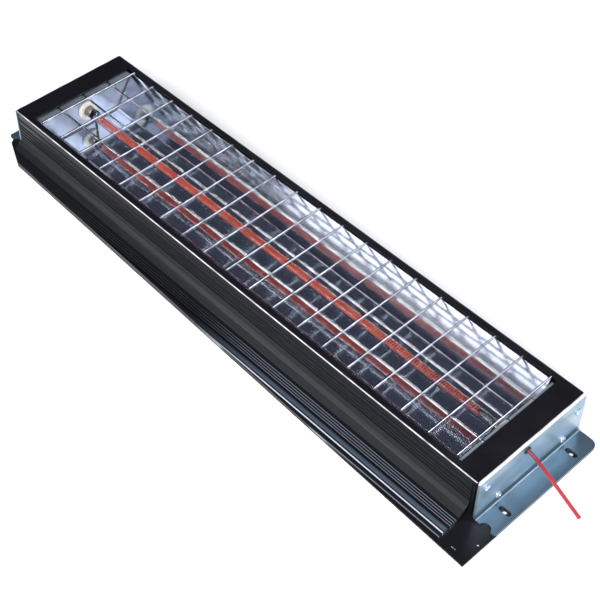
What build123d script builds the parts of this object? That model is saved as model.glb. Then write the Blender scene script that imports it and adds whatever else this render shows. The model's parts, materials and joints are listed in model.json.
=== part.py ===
"""Linear infrared strip heater for keeping food warm, lying on its back with the lamp facing up.

A black sheet-steel box with a fluted apron along one side holds a polished reflector trough, one
quartz lamp and a welded wire guard. A plated steel bracket closes each end.

Frame, in millimetres: +X runs along the lamp towards the end where the supply lead leaves, +Z points
out of the open face, and the origin is on the underside of the base plate, below the middle of the face.
"""
from build123d import *
from math import atan2, degrees, hypot, radians, tan
import os

os.makedirs("parts", exist_ok=True)

# ---- driving dimensions -------------------------------------------------------------------------
FACE_LENGTH = 704.0      # the box over its end covers
FACE_WIDTH = 150.0       # the box over its rims
RIM_Z = 58.0             # the face above the underside
SHEET = 1.5              # black sheet steel of the box
BASE_SHEET = 2.0         # base plate and plated brackets
FOOT = 27.0              # how far a bracket's foot stands out
COVER = 27.0             # width of the black cover across each end of the face
RIM = 7.5                # width of the long rims
APRON_Y = -118.5         # widest reach of the base plate, at its +X end

HALF_L = FACE_LENGTH / 2
HALF_W = FACE_WIDTH / 2
FOOT_X = HALF_L + FOOT
TROUGH_X = HALF_L - COVER - 5.0      # the reflector's end plates
COVER_X = HALF_L - COVER             # inner edge of the end covers
FLOOR_Z = BASE_SHEET + SHEET         # top of the box floor
LAMP_Z = RIM_Z - 21.7                # lamp axis

CLEAR = 0.1              # play of a pin or screw in its hole, on the radius
GAP = 0.2                # gap left between neighbouring pieces


def finish(builder, name):
    """Labels a finished piece and writes it to its own STEP file."""
    builder.part.label = name
    export_step(builder.part, f"parts/{name}.step")


def folded(path, thickness):
    """Outline of a sheet folded along a path of points, with the sheet on the path's left."""
    normals = []
    for (x0, y0), (x1, y1) in zip(path, path[1:]):
        run = hypot(x1 - x0, y1 - y0)
        normals.append(((y0 - y1) / run, (x1 - x0) / run))
    inner = []
    for i, (x, y) in enumerate(path):
        a, b = normals[max(i - 1, 0)], normals[min(i, len(normals) - 1)]
        mitre = thickness / (1 + a[0] * b[0] + a[1] * b[1])
        inner.append((x + (a[0] + b[0]) * mitre, y + (a[1] + b[1]) * mitre))
    return path + inner[::-1]


def bend_radii(route):
    """Radius at each inner corner of a cord's route: as large as the shorter run beside it allows."""
    radii = []
    for a, b, c in zip(route, route[1:], route[2:]):
        before, after = Vector(*b) - Vector(*a), Vector(*c) - Vector(*b)
        turn = radians(before.get_angle(after))
        radii.append(0.45 * min(before.length, after.length) / tan(turn / 2))
    return radii


def mirrored(points, sign):
    """The same points for the end at +X (sign 1) or at -X (sign -1)."""
    return [(sign * x, y) for x, y in points]


# ---- base plate ---------------------------------------------------------------------------------
APRON_Y_FAR = -97.0                  # reach of the base plate near its -X end
OUTLINE = [(FOOT_X, HALF_W), (FOOT_X, APRON_Y), (-331.0, APRON_Y_FAR), (-368.0, -80.0),
           (-FOOT_X, -66.0), (-FOOT_X, HALF_W)]
SLOT_X, SLOT_Y = HALF_L + 15.5, 48.0
SLOT_LENGTH, SLOT_WIDTH = 14.0, 6.0
BOLT_R = 2.25                        # bolt holes in the base plate, under the middle of the slots
RIVET_R = 1.6
RIVETS = [(x, y) for x in (-300.0, 0.0, 300.0) for y in (-55.0, 55.0)]

with BuildPart() as base_plate:
    with BuildSketch() as blank:
        Polygon(*OUTLINE, align=None)
        fillet(blank.vertices().group_by(Axis.Y)[-1], radius=9.0)
        with Locations(*[(sx * SLOT_X, sy * SLOT_Y) for sx in (-1, 1) for sy in (-1, 1)]):
            Circle(BOLT_R, mode=Mode.SUBTRACT)
        with Locations((360.0, -110.0)):
            SlotOverall(7.0, 1.6, mode=Mode.SUBTRACT)
        with Locations((374.0, -92.0)):
            Circle(1.3, mode=Mode.SUBTRACT)
        with Locations(*RIVETS):
            Circle(RIVET_R + CLEAR, mode=Mode.SUBTRACT)
    extrude(amount=BASE_SHEET)
finish(base_plate, "base_plate")

# ---- box: a channel of black sheet steel --------------------------------------------------------
NEAR_WALL_Y = -72.5                  # outer face of the wall behind the apron
LIP_Z = RIM_Z - SHEET - GAP          # top of the walls, under the rims and covers
WALL_X = HALF_L - 4.0

with BuildPart() as housing_channel:
    with BuildSketch(Plane.YZ):
        Polygon(*folded([(NEAR_WALL_Y, LIP_Z), (NEAR_WALL_Y, BASE_SHEET),
                         (HALF_W, BASE_SHEET), (HALF_W, LIP_Z)], SHEET), align=None)
    extrude(amount=WALL_X, both=True)
    with Locations(*[(x, y, BASE_SHEET) for x, y in RIVETS]):
        Cylinder(RIVET_R + CLEAR, 4 * SHEET, mode=Mode.SUBTRACT)
finish(housing_channel, "housing_channel")

# The long rims are L-shaped strips: the top lies in the face, the leg hangs inside the wall.
RIM_LEG = 9.0
for name, outer, wall, side in (("rim_near", -HALF_W, NEAR_WALL_Y + SHEET + GAP, 1),
                                ("rim_far", HALF_W, HALF_W - SHEET - GAP, -1)):
    with BuildPart() as rim:
        with BuildSketch(Plane.YZ):
            Polygon((outer, RIM_Z), (outer + side * RIM, RIM_Z), (outer + side * RIM, RIM_Z - SHEET),
                    (wall + side * SHEET, RIM_Z - SHEET), (wall + side * SHEET, RIM_Z - RIM_LEG),
                    (wall, RIM_Z - RIM_LEG), (wall, RIM_Z - SHEET), (outer, RIM_Z - SHEET), align=None)
        extrude(amount=COVER_X - GAP, both=True)
        fillet(rim.edges().filter_by(Axis.X).group_by(Axis.Z)[-1].sort_by(Axis.Y)[0 if side > 0 else -1],
               radius=0.8)
    finish(rim, name)

# Blind rivets hold the channel to the base plate: a low dome inside, flush below.
with BuildPart() as base_rivets:
    with Locations(*[(x, y, 0) for x, y in RIVETS]):
        Cylinder(RIVET_R, FLOOR_Z, align=(Align.CENTER, Align.CENTER, Align.MIN))
    with Locations(*[(x, y, FLOOR_Z) for x, y in RIVETS]):
        Cone(3.2, 2.0, 1.2, align=(Align.CENTER, Align.CENTER, Align.MIN))
finish(base_rivets, "base_rivets")

# ---- fluted apron: an extrusion that runs down the near wall and out over the base plate --------
APRON_END = 345.0                    # its +X end stops short of the bracket
APRON_OUT = -113.3                   # its straight outer edge
WALL_BEADS = [RIM_Z - drop for drop in (13.0, 21.6, 26.2, 31.0, 36.0)]
FLOOR_BEADS = [-90.0, -92.6, -95.2, -97.6]
WALL_FACE = NEAR_WALL_Y - 1.4        # outer face of the apron's upright
APRON_TOP = RIM_Z - SHEET - GAP
FLUTE_Z = 6.6                        # height of its fluted flange
CREST_Y, CREST_R = -103.5, 5.0       # broad rounded bead near the outer edge

with BuildPart() as apron_extrusion:
    with BuildSketch(Plane.YZ) as apron_section:
        Polygon((NEAR_WALL_Y - CLEAR, APRON_TOP), (WALL_FACE, APRON_TOP), (WALL_FACE, 21.0),
                (-76.2, 16.4), (-79.8, 12.6), (-86.0, FLUTE_Z + 0.8), (-99.0, FLUTE_Z - 0.8),
                (-110.0, FLUTE_Z - 1.0), (APRON_OUT, FLUTE_Z - 2.0), (APRON_OUT, BASE_SHEET),
                (-93.0, BASE_SHEET), (-79.0, 9.4), (-74.6, 14.4), (NEAR_WALL_Y - CLEAR, 20.0),
                align=None)
        with Locations(*[(WALL_FACE, z) for z in WALL_BEADS]):
            Circle(0.9)
        with Locations(*[(y, FLUTE_Z + 0.6 + (y + 86.0) * 0.12) for y in FLOOR_BEADS]):
            Circle(0.75)
        with Locations((CREST_Y, FLUTE_Z + 0.9 - CREST_R)):
            Circle(CREST_R)
        with Locations((0, BASE_SHEET)):
            Rectangle(400, 40, align=(Align.CENTER, Align.MAX), mode=Mode.SUBTRACT)
        with Locations((APRON_OUT, 0)):
            Rectangle(40, 100, align=(Align.MAX, Align.CENTER), mode=Mode.SUBTRACT)
    extrude(amount=HALF_L, both=True)
    with BuildSketch():
        Polygon(*OUTLINE, align=None)
    extrude(amount=RIM_Z, mode=Mode.INTERSECT)
    with Locations((APRON_END, 0, 0)):
        Box(60, 400, 200, align=(Align.MIN, Align.CENTER, Align.CENTER), mode=Mode.SUBTRACT)
    with Locations((GAP + SHEET - HALF_L, 0, 0)):
        Box(60, 400, 200, align=(Align.MAX, Align.CENTER, Align.CENTER), mode=Mode.SUBTRACT)
finish(apron_extrusion, "apron_extrusion")

# ---- polished reflector -------------------------------------------------------------------------
TROUGH_SHEET = 0.8
TROUGH_GAP = 1.8                     # open joint between the trough and each end plate
FLANGE_Z = RIM_Z - 3.0               # top of the trough's flanges, which carry the guard
TROUGH_TOP_Y, TROUGH_FLOOR_Y = 66.2, 40.5
TROUGH_FLOOR_Z = RIM_Z - 43.6
TROUGH_BEND = 5.0                    # inner radius where each side meets the floor
FLANGE_Y = 68.8

with BuildPart() as reflector_trough:
    with BuildSketch(Plane.YZ) as trough_section:
        Polygon(*folded([(FLANGE_Y, FLANGE_Z), (TROUGH_TOP_Y, FLANGE_Z), (TROUGH_FLOOR_Y, TROUGH_FLOOR_Z),
                         (-TROUGH_FLOOR_Y, TROUGH_FLOOR_Z), (-TROUGH_TOP_Y, FLANGE_Z),
                         (-FLANGE_Y, FLANGE_Z)], TROUGH_SHEET), align=None)
        bends = trough_section.vertices().filter_by(lambda v: v.Y < TROUGH_FLOOR_Z + 0.01)
        fillet(bends.group_by(Axis.Y)[-1], radius=TROUGH_BEND)
        bends = trough_section.vertices().group_by(Axis.Y)[0]
        fillet(bends.sort_by(Axis.X)[0], radius=TROUGH_BEND + TROUGH_SHEET)
        bends = trough_section.vertices().group_by(Axis.Y)[0]
        fillet(bends.sort_by(Axis.X)[-1], radius=TROUGH_BEND + TROUGH_SHEET)
    extrude(amount=TROUGH_X - TROUGH_GAP, both=True)
finish(reflector_trough, "reflector_trough")

# Hat-section saddles carry the trough on the box floor.
SADDLE_X = (-210.0, 0.0, 210.0)
with BuildPart() as reflector_saddles:
    for x in SADDLE_X:
        with BuildSketch(Plane.YZ.offset(x)):
            top = TROUGH_FLOOR_Z - TROUGH_SHEET - GAP
            Polygon(*folded([(-44.0, FLOOR_Z + 1.0), (-32.0, FLOOR_Z + 1.0), (-26.0, top),
                             (26.0, top), (32.0, FLOOR_Z + 1.0), (44.0, FLOOR_Z + 1.0)], -1.0),
                    align=None)
        extrude(amount=10.0, both=True)
finish(reflector_saddles, "reflector_saddles")

# ---- wire guard: nineteen cross wires tacked on top of three long wires -------------------------
WIRE_R = 1.4
CROSS_PITCH = 35.1
CROSS_MIDDLE = 1.4                   # the guard sits a little towards +X and +Y
CROSS_Y, CROSS_HALF = 1.0, 66.2
CROSS_COUNT = 19
CROSS_Z = RIM_Z - WIRE_R
LONG_Z = CROSS_Z - 2 * WIRE_R - 0.02
LONG_Y = (-34.2, 0.6, 35.4)
GUARD_END = COVER_X + 3.5            # the long wires tuck under the end covers
CROSS_X = [CROSS_MIDDLE + CROSS_PITCH * (i - (CROSS_COUNT - 1) / 2) for i in range(CROSS_COUNT)]
END_FLANGE_Z = LONG_Z - WIRE_R - GAP # top of the end plates' flanges, under the long wires

with BuildPart() as guard_cross_wires:
    with Locations(*[(x, CROSS_Y, CROSS_Z) for x in CROSS_X]):
        Cylinder(WIRE_R, 2 * CROSS_HALF, rotation=(90, 0, 0))
finish(guard_cross_wires, "guard_cross_wires")

with BuildPart() as guard_long_wires:
    with Locations(*[(0, y, LONG_Z) for y in LONG_Y]):
        Cylinder(WIRE_R, 2 * GUARD_END, rotation=(0, 90, 0))
finish(guard_long_wires, "guard_long_wires")

# ---- quartz lamp --------------------------------------------------------------------------------
TUBE_R, TUBE_BORE = 5.5, 4.6
TUBE_HALF = 314.0
COIL_R, COIL_WIRE = 4.0, 0.9
COIL_MIDDLE, COIL_HALF = -3.0, 293.7
CAP_R, CAP_IN, CAP_OUT = 6.2, 309.0, 322.0
BUTTON_OUT = 324.0                   # outer face of the lamp's contact buttons

with BuildPart() as quartz_tube:
    with BuildSketch(Plane.YZ):
        with Locations((0, LAMP_Z)):
            Circle(TUBE_R)
            Circle(TUBE_BORE, mode=Mode.SUBTRACT)
    extrude(amount=TUBE_HALF, both=True)
finish(quartz_tube, "quartz_tube")

# The glowing coil is held here as the thin sleeve that its turns wind round.
with BuildPart() as heating_coil:
    with BuildSketch(Plane.YZ):
        with Locations((0, LAMP_Z)):
            Circle(COIL_R)
            Circle(COIL_R - COIL_WIRE, mode=Mode.SUBTRACT)
    extrude(amount=COIL_HALF, both=True)
heating_coil.part.locate(Location((COIL_MIDDLE, 0, 0)))
finish(heating_coil, "heating_coil")

with BuildPart() as coil_leads:
    for sign in (-1, 1):
        coil_end = COIL_MIDDLE + sign * COIL_HALF
        with Locations((coil_end, 0, LAMP_Z)):
            Cylinder(1.0, TUBE_HALF + GAP - abs(coil_end), rotation=(0, sign * 90, 0),
                     align=(Align.CENTER, Align.CENTER, Align.MIN))
finish(coil_leads, "coil_leads")

# Spring clip that steadies the lamp near its -X end: a strip bent round the tube, with one leg down.
CLIP_X, CLIP_WIDTH = -305.0, 4.0
with BuildPart() as lamp_clip:
    with BuildSketch(Plane.YZ.offset(CLIP_X)):
        with Locations((0, LAMP_Z)):
            Circle(TUBE_R + CLEAR + 0.7)
            Circle(TUBE_R + CLEAR, mode=Mode.SUBTRACT)
        with Locations((0, LAMP_Z + TUBE_R)):
            Rectangle(5.0, 6.0, mode=Mode.SUBTRACT)
        with Locations((0, LAMP_Z - TUBE_R - CLEAR - 0.2)):
            Rectangle(0.8, 15.0, align=(Align.CENTER, Align.MAX))
    extrude(amount=CLIP_WIDTH / 2, both=True)
finish(lamp_clip, "lamp_clip")

# ---- screws that hold each bracket --------------------------------------------------------------
SCREW_R, SCREW_HEAD_R = 2.0, 3.7
SCREWS = [(-63.5, RIM_Z - 14.6), (-43.5, RIM_Z - 45.5), (49.5, RIM_Z - 47.0), (66.0, RIM_Z - 19.0)]
BRACKET_OUT = HALF_L + BASE_SHEET
LEAD_Y, LEAD_Z = -9.0, 48.4          # where the supply lead passes through the +X bracket
GROMMET_R = 3.3

# ---- the two ends -------------------------------------------------------------------------------
BUSH_FLANGE_R, BUSH_FLANGE = 12.6, 3.0
BUSH_R, BUSH_BORE = 10.0, 6.9
HOLDER_IN, HOLDER_OUT = 327.5, 348.0
PLUNGER_R, STEM_R = 4.0, 2.6
TRAVEL = 4.0                         # stroke of a sprung contact
HEAD_IN, HEAD_LENGTH = 331.0, 5.0
BORE_OUT = 345.0

for side, sign in (("left", -1), ("right", 1)):
    # Black cover: a band across the face and a wall down the end.
    with BuildPart() as end_cover:
        with BuildSketch(Plane.XZ):
            Polygon(*mirrored([(COVER_X, RIM_Z), (HALF_L, RIM_Z), (HALF_L, BASE_SHEET + GAP),
                               (HALF_L - SHEET, BASE_SHEET + GAP), (HALF_L - SHEET, RIM_Z - SHEET),
                               (COVER_X, RIM_Z - SHEET)], sign), align=None)
        extrude(amount=HALF_W, both=True)
        fillet(end_cover.edges().filter_by(Axis.Z).filter_by(
            lambda e: abs(e.center().X) > HALF_L - 0.01 and e.center().Z > 0), radius=3.5)
        with Locations(*[(sign * HALF_L, y, z) for y, z in SCREWS]):
            Cylinder(SCREW_R + CLEAR, 8, rotation=(0, 90, 0), mode=Mode.SUBTRACT)
        if sign > 0:
            with Locations((HALF_L, LEAD_Y, LEAD_Z)):
                Cylinder(GROMMET_R + CLEAR, 8, rotation=(0, 90, 0), mode=Mode.SUBTRACT)
    finish(end_cover, f"end_cover_{side}")

    # Plated bracket: upright plate, bend, and a slotted foot with a half-round bite at one corner.
    with BuildPart() as end_bracket:
        with BuildSketch(Plane.XZ) as bracket_section:
            Polygon(*mirrored(folded([(FOOT_X, BASE_SHEET), (HALF_L, BASE_SHEET), (HALF_L, RIM_Z - 0.6)],
                                     -BASE_SHEET), sign), align=None)
            fillet(bracket_section.vertices().sort_by_distance((sign * HALF_L, BASE_SHEET))[0], radius=5.0)
            fillet(bracket_section.vertices().sort_by_distance((sign * BRACKET_OUT, 2 * BASE_SHEET))[0],
                   radius=3.0)
        extrude(amount=HALF_W, both=True)
        tips = end_bracket.edges().filter_by(Axis.Z).filter_by(lambda e: abs(e.center().X) > FOOT_X - 0.01)
        fillet(tips.sort_by(Axis.Y)[0], radius=3.5)
        tips = end_bracket.edges().filter_by(Axis.Z).filter_by(lambda e: abs(e.center().X) > FOOT_X - 0.01)
        fillet(tips.sort_by(Axis.Y)[-1], radius=8.5)
        with Locations((sign * (FOOT_X - 12.0), -HALF_W - 1.0, 0)):
            Cylinder(6.5, 20, mode=Mode.SUBTRACT)
        with BuildSketch():
            with Locations(*[(sign * SLOT_X, y) for y in (-SLOT_Y, SLOT_Y)]):
                SlotOverall(SLOT_LENGTH, SLOT_WIDTH)
        extrude(amount=10, mode=Mode.SUBTRACT)
        with Locations(*[(sign * HALF_L, y, z) for y, z in SCREWS]):
            Cylinder(SCREW_R + CLEAR, 8, rotation=(0, 90, 0), mode=Mode.SUBTRACT)
        if sign > 0:
            with Locations((HALF_L, LEAD_Y, LEAD_Z)):
                Cylinder(GROMMET_R + CLEAR, 8, rotation=(0, 90, 0), mode=Mode.SUBTRACT)
    finish(end_bracket, f"end_bracket_{side}")

    # Pan-head screws, one solid each.
    with BuildPart() as bracket_screws:
        with Locations(*[(sign * (BRACKET_OUT + 1.2), y, z) for y, z in SCREWS]):
            Cylinder(SCREW_HEAD_R, 2.4, rotation=(0, 90, 0))
        fillet(bracket_screws.edges().filter_by(GeomType.CIRCLE).group_by(Axis.X)[-1 if sign > 0 else 0],
               radius=1.6)
        with Locations(*[(sign * (BRACKET_OUT + 0.6), y, z) for y, z in SCREWS]):
            Cylinder(SCREW_R, 9.0, rotation=(0, sign * 90, 0),
                     align=(Align.CENTER, Align.CENTER, Align.MAX))
        with Locations(*[(sign * (BRACKET_OUT + 2.4), y, z) for y, z in SCREWS]):
            Box(2.4, 4.4, 0.9, mode=Mode.SUBTRACT)
            Box(2.4, 0.9, 4.4, mode=Mode.SUBTRACT)
    finish(bracket_screws, f"bracket_screws_{side}")

    # Reflector end plate, folded outward at the face and at the floor.
    with BuildPart() as reflector_end:
        with BuildSketch(Plane.XZ):
            Polygon(*mirrored(folded([(TROUGH_X + 10.0, END_FLANGE_Z), (TROUGH_X, END_FLANGE_Z),
                                      (TROUGH_X, FLOOR_Z + GAP), (TROUGH_X + 5.0, FLOOR_Z + GAP)], 1.0),
                              sign), align=None)
        extrude(amount=66.5, both=True)
        with Locations((sign * TROUGH_X, 0, LAMP_Z)):
            Cylinder(BUSH_R + CLEAR, 10, rotation=(0, 90, 0), mode=Mode.SUBTRACT)
        with Locations((sign * TROUGH_X, 38.0, FLOOR_Z + 8.0)):
            Cylinder(2.4, 10, rotation=(0, 90, 0), mode=Mode.SUBTRACT)
    finish(reflector_end, f"reflector_end_{side}")

    # Ceramic bush that carries the lamp through the end plate.
    with BuildPart() as ceramic_bush:
        with BuildSketch(Plane.XZ.offset(0)) as bush_section:
            Polygon(*mirrored([(TROUGH_X - GAP - BUSH_FLANGE, LAMP_Z + BUSH_BORE),
                               (TROUGH_X - GAP - BUSH_FLANGE, LAMP_Z + BUSH_FLANGE_R - 1.5),
                               (TROUGH_X - GAP - BUSH_FLANGE + 1.2, LAMP_Z + BUSH_FLANGE_R),
                               (TROUGH_X - GAP, LAMP_Z + BUSH_FLANGE_R), (TROUGH_X - GAP, LAMP_Z + BUSH_R),
                               (TROUGH_X + 6.0, LAMP_Z + BUSH_R), (TROUGH_X + 6.0, LAMP_Z + BUSH_BORE)],
                              sign), align=None)
        revolve(axis=Axis((0, 0, LAMP_Z), (1, 0, 0)))
    finish(ceramic_bush, f"ceramic_bush_{side}")

    # Thin metal cap on the lamp's end, with its contact button.
    with BuildPart() as lamp_cap:
        with BuildSketch(Plane.XZ):
            Polygon(*mirrored([(CAP_IN, LAMP_Z + TUBE_R + CLEAR), (CAP_IN, LAMP_Z + CAP_R - 0.2),
                               (CAP_IN + 0.3, LAMP_Z + CAP_R), (CAP_OUT - 1.5, LAMP_Z + CAP_R),
                               (CAP_OUT, LAMP_Z + CAP_R - 1.5), (CAP_OUT, LAMP_Z + 3.0),
                               (TUBE_HALF + GAP, LAMP_Z + 3.0), (TUBE_HALF + GAP, LAMP_Z + TUBE_R + CLEAR)],
                              sign), align=None)
        revolve(axis=Axis((0, 0, LAMP_Z), (1, 0, 0)))
    finish(lamp_cap, f"lamp_cap_{side}")

    with BuildPart() as lamp_button:
        with Locations((sign * (TUBE_HALF + 2 * GAP), 0, LAMP_Z)):
            Cylinder(3.0 - CLEAR, BUTTON_OUT - TUBE_HALF - 2 * GAP, rotation=(0, sign * 90, 0),
                     align=(Align.CENTER, Align.CENTER, Align.MIN))
        fillet(lamp_button.edges().group_by(Axis.X)[-1 if sign > 0 else 0], radius=0.8)
    finish(lamp_button, f"lamp_button_{side}")

    # Ceramic holder block with a stepped bore for the sprung contact.
    with BuildPart() as contact_holder:
        with Locations((sign * (HOLDER_IN + HOLDER_OUT) / 2, 0, FLOOR_Z + GAP)):
            Box(HOLDER_OUT - HOLDER_IN, 26, LAMP_Z + 5.8 - FLOOR_Z,
                align=(Align.CENTER, Align.CENTER, Align.MIN))
        chamfer(contact_holder.edges().filter_by(Axis.X).group_by(Axis.Z)[-1], length=2.0)
        with Locations((sign * (HOLDER_IN - 1), 0, LAMP_Z)):
            Cylinder(STEM_R + CLEAR, 10, rotation=(0, sign * 90, 0),
                     align=(Align.CENTER, Align.CENTER, Align.MIN), mode=Mode.SUBTRACT)
        with Locations((sign * (HEAD_IN - GAP), 0, LAMP_Z)):
            Cylinder(PLUNGER_R + CLEAR, BORE_OUT - HEAD_IN + GAP, rotation=(0, sign * 90, 0),
                     align=(Align.CENTER, Align.CENTER, Align.MIN), mode=Mode.SUBTRACT)
        with Locations((sign * 340.0, 0, LAMP_Z - 8.0)):
            Cylinder(2.2, 40, rotation=(90, 0, 0), mode=Mode.SUBTRACT)
    finish(contact_holder, f"contact_holder_{side}")

    with BuildPart() as contact_plunger:
        with BuildSketch(Plane.XZ):
            Polygon(*mirrored([(BUTTON_OUT + GAP, LAMP_Z), (BUTTON_OUT + GAP, LAMP_Z + STEM_R - 0.8),
                               (BUTTON_OUT + GAP + 0.8, LAMP_Z + STEM_R), (HEAD_IN, LAMP_Z + STEM_R),
                               (HEAD_IN, LAMP_Z + PLUNGER_R), (HEAD_IN + HEAD_LENGTH, LAMP_Z + PLUNGER_R),
                               (HEAD_IN + HEAD_LENGTH, LAMP_Z)], sign), align=None)
        revolve(axis=Axis((0, 0, LAMP_Z), (1, 0, 0)))
    finish(contact_plunger, f"contact_plunger_{side}")

    spring_start = HEAD_IN + HEAD_LENGTH + 0.6
    with BuildPart() as contact_spring:
        with BuildLine() as spring_line:
            Helix(pitch=1.5, height=BORE_OUT - 0.6 - spring_start, radius=3.1,
                  center=(sign * spring_start, 0, LAMP_Z), direction=(sign, 0, 0))
        with BuildSketch(Plane(origin=spring_line.line @ 0, z_dir=spring_line.line % 0)):
            Circle(0.4)
        sweep(path=spring_line.line, is_frenet=True)
    finish(contact_spring, f"contact_spring_{side}")

# ---- wiring -------------------------------------------------------------------------------------
LEAD_R = 1.9
LEAD_START = HALF_L                  # the lead's solid begins half-way through the grommet
LEAD_ROUTE = [(LEAD_START, LEAD_Y, LEAD_Z), (359.4, -8.97, 48.37), (370.5, -7.4, 39.4),
              (387.0, -5.3, 25.6), (403.5, -4.2, 13.4), (418.7, -3.4, 2.6)]
CORE_R = 1.2                         # single wires inside the box
TERMINAL_X, TERMINAL_Y = 334.0, 44.0
POLE_Z = FLOOR_Z + 8.0
ENTRY_Y = TERMINAL_Y + 6.0           # the two entries in the block's top
LEAD_ENTRY_X, LINK_ENTRY_X = 338.4, 330.4
INNER_ROUTE = [(LEAD_START - GAP, LEAD_Y, LEAD_Z), (345.4, -8.9, 48.6), (340.0, -3.0, 48.4),
               (338.0, 11.0, 48.7), (338.8, 27.0, 46.4), (339.0, 42.0, 40.0),
               (338.6, 49.6, 29.0), (LEAD_ENTRY_X, ENTRY_Y, 17.0)]
LINK_ROUTE = [(340.0, 9.0, LAMP_Z - 8.0), (340.0, 19.0, LAMP_Z - 7.6), (337.0, 31.0, 32.0),
              (332.6, 42.0, 31.0), (330.6, 49.0, 25.0), (LINK_ENTRY_X, ENTRY_Y, 17.0)]
RETURN_ROUTE = [(-340.0, 9.0, LAMP_Z - 8.0), (-340.0, 21.0, LAMP_Z - 8.2), (-340.0, 32.0, 22.5),
                (-336.5, 38.0, 14.5), (-326.0, TERMINAL_Y - 6.0, POLE_Z),
                (330.0, TERMINAL_Y - 6.0, POLE_Z)]

for name, route, radius in (("supply_lead", LEAD_ROUTE, LEAD_R), ("inner_lead", INNER_ROUTE, LEAD_R),
                            ("link_wire", LINK_ROUTE, CORE_R), ("return_wire", RETURN_ROUTE, CORE_R)):
    with BuildPart() as wire:
        wire_radii = bend_radii(route)
        with BuildLine() as wire_line:
            FilletPolyline(*route, radius=wire_radii)
        with BuildSketch(Plane(origin=wire_line.wire() @ 0, z_dir=wire_line.wire() % 0)):
            Circle(radius)
        sweep(path=wire_line.wire())
    finish(wire, name)
    by_length = wire.part.volume / (3.14159265 * radius ** 2) / wire_line.wire().length
    print(name, "radii", [round(r, 1) for r in wire_radii], "volume ratio", round(by_length, 3))

# Rubber grommet in the bracket, round the lead.
with BuildPart() as lead_grommet:
    with Locations((HALF_L - SHEET - 1.0, LEAD_Y, LEAD_Z)):
        Cylinder(GROMMET_R, SHEET + BASE_SHEET + 2.0, rotation=(0, 90, 0),
                 align=(Align.CENTER, Align.CENTER, Align.MIN))
    with Locations((BRACKET_OUT + CLEAR, LEAD_Y, LEAD_Z)):
        Cylinder(GROMMET_R + 0.8, 0.9, rotation=(0, 90, 0), align=(Align.CENTER, Align.CENTER, Align.MIN))
    with Locations((HALF_L, LEAD_Y, LEAD_Z)):
        Cylinder(LEAD_R + CLEAR, 20, rotation=(0, 90, 0), mode=Mode.SUBTRACT)
finish(lead_grommet, "lead_grommet")

# Terminal block in the +X compartment, with its clamp screws.
with BuildPart() as terminal_block:
    with Locations((TERMINAL_X, TERMINAL_Y, FLOOR_Z + GAP)):
        Box(16, 24, 16, align=(Align.CENTER, Align.CENTER, Align.MIN))
    with Locations((TERMINAL_X - 8.0, TERMINAL_Y - 6.0, POLE_Z)):
        Cylinder(CORE_R + 4 * CLEAR, 20, rotation=(0, 90, 0), mode=Mode.SUBTRACT)
    with Locations((LEAD_ENTRY_X, ENTRY_Y, POLE_Z + 3.0)):
        Cylinder(LEAD_R + 3 * CLEAR, 30, align=(Align.CENTER, Align.CENTER, Align.MIN), mode=Mode.SUBTRACT)
    with Locations((LINK_ENTRY_X, ENTRY_Y, POLE_Z + 3.0)):
        Cylinder(CORE_R + 4 * CLEAR, 30, align=(Align.CENTER, Align.CENTER, Align.MIN), mode=Mode.SUBTRACT)
    with Locations((TERMINAL_X - 3.0, TERMINAL_Y - 6.0, FLOOR_Z + 11.0)):
        Cylinder(2.1, 20, align=(Align.CENTER, Align.CENTER, Align.MIN), mode=Mode.SUBTRACT)
finish(terminal_block, "terminal_block")

with BuildPart() as terminal_screw:
    with Locations((TERMINAL_X - 3.0, TERMINAL_Y - 6.0, FLOOR_Z + 11.0)):
        Cylinder(2.0, 5.4, align=(Align.CENTER, Align.CENTER, Align.MIN))
    with Locations((TERMINAL_X - 3.0, TERMINAL_Y - 6.0, FLOOR_Z + 16.4)):
        Box(6, 0.8, 1.6, mode=Mode.SUBTRACT)
finish(terminal_screw, "terminal_screw")
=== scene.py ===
"""Looks for a linear infrared strip heater that lies on its back with its lamp facing up.

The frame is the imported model: metres, +X along the lamp towards the lead's end, +Z out of the open
face, origin under the middle of the face. Each sub-assembly is a class that builds its meshes and
dresses the carried-over solids; each finish is a frozen dataclass.
"""
from __future__ import annotations

import json
import logging
import math
from dataclasses import dataclass, field
from enum import Enum
from typing import Any

import bmesh
import bpy
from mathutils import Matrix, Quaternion, Vector

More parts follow.
